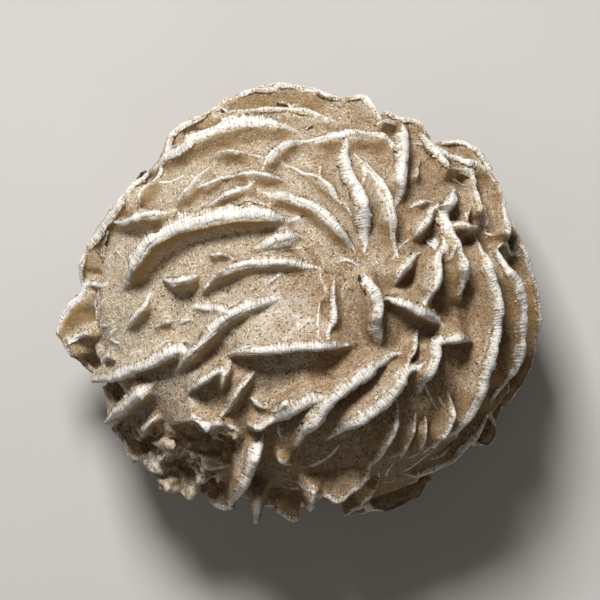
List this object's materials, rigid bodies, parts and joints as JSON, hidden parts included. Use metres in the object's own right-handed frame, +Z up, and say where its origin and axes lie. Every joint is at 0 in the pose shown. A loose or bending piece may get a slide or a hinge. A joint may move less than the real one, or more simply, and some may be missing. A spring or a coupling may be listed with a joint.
{
  "type": "gypsum sand rose",
  "caption": "Rounded gypsum sand rose of thin sandy crystal blades grown through each other, resting on a small worn flat.",
  "frame": {"origin": "middle of the bounding box's lower face, in the plane of the worn flat the rose rests on", "axes": "+X along the longest extent, +Y across, +Z up out of the worn flat and along the shortest extent"},
  "size_m": [0.0606, 0.0544, 0.0392],
  "materials": {
    "sandy_gypsum": "matt tan sand-filled gypsum with chalk-white blade rims"
  },
  "bodies": {
    "root": {"sand_rose": "sandy_gypsum"}
  },
  "joints": []
}
